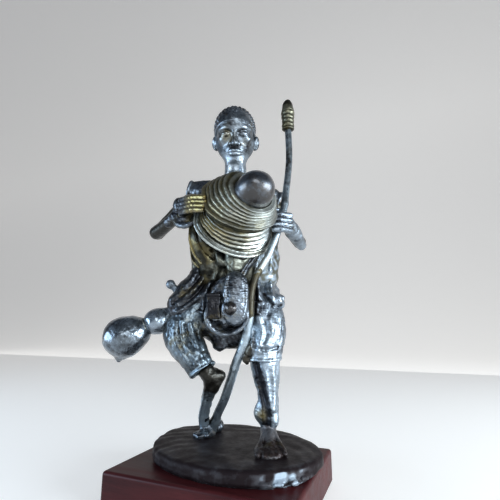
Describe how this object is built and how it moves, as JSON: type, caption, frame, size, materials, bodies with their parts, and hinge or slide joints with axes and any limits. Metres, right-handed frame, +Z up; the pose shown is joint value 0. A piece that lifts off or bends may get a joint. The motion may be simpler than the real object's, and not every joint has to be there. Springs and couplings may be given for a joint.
{
  "type": "cast bronze herdsman statuette",
  "caption": "Lost-wax bronze figure of a standing herdsman with a coiled straw hat, staff, pouch and gourd, on an oval cast base and a wooden plinth.",
  "frame": {"origin": "centre of the resting face, the underside of the felt", "axes": "+Z up along the figure, -Y towards the front of the plinth, +X to the plinth's right as seen from the front"},
  "size_m": [0.0943, 0.0673, 0.1865],
  "materials": {
    "bronze": "dark patinated cast bronze, rubbed bright on its ridges",
    "polished_bronze": "smooth dark patinated bronze with a gloss",
    "hat_bronze": "greenish brown patina, rubbed on the coils",
    "base_bronze": "dark brown patina, uneven cast surface",
    "worn_brass": "patina rubbed through to yellow metal",
    "mahogany": "stained and varnished hardwood, satin",
    "felt": "short pile felt",
    "steel": "plain zinc plated"
  },
  "bodies": {
    "root": {"felt_pad": "felt", "plinth": "mahogany", "plinth_screws": "steel", "screw_washers": "steel", "base_plate": "base_bronze", "right_foot": "bronze", "left_foot": "bronze", "right_shin": "bronze", "left_calf": "bronze", "right_trouser_leg": "bronze", "left_trouser_leg": "bronze", "hip_wrap": "bronze", "tunic": "bronze", "right_sleeve": "bronze", "left_sleeve": "bronze", "head": "bronze", "hair_cap": "bronze", "right_upper_arm": "bronze", "left_upper_arm": "bronze", "right_forearm": "bronze", "left_forearm": "bronze", "right_hand": "worn_brass", "left_hand": "bronze", "hat_crown": "polished_bronze", "hat_upper_tier": "hat_bronze", "hat_lower_tier": "hat_bronze", "hat_edge": "hat_bronze", "staff": "bronze", "staff_finial": "bronze", "pouch_body": "bronze", "pouch_flap": "bronze", "pouch_clasp": "worn_brass", "pouch_strap": "bronze", "gourd_bowl": "polished_bronze", "gourd_neck": "polished_bronze", "gourd_tie": "worn_brass", "dagger_hilt": "bronze"}
  },
  "joints": []
}
